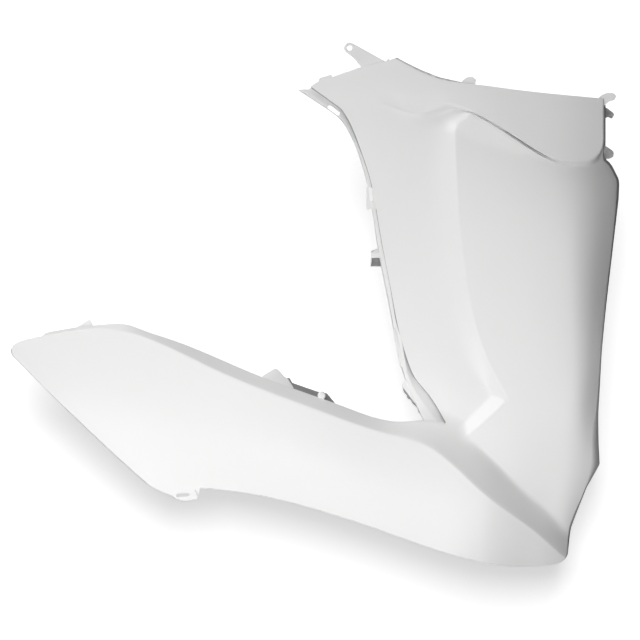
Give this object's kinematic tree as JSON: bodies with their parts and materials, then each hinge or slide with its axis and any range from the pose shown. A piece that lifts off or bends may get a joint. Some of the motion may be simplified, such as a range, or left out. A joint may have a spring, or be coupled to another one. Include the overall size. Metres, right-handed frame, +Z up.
{
  "type": "motorcycle side fairing",
  "caption": "Right-hand scooter side fairing: one moulded shell with a tall front panel, a collar, a swept-back lower wing, moulded tabs and a screw tab at the head.",
  "frame": {"origin": "centre of the screw hole in the tab at the head of the panel, at mid-thickness of the tab", "axes": "+X forward along the vehicle, +Y inboard, away from the painted face, +Z up; the painted face looks along -Y"},
  "size_m": [0.7341, 0.0871, 0.626],
  "materials": {
    "painted_shell": "gloss white paint on moulded plastic"
  },
  "bodies": {
    "root": {"side_fairing": "painted_shell"}
  },
  "joints": []
}
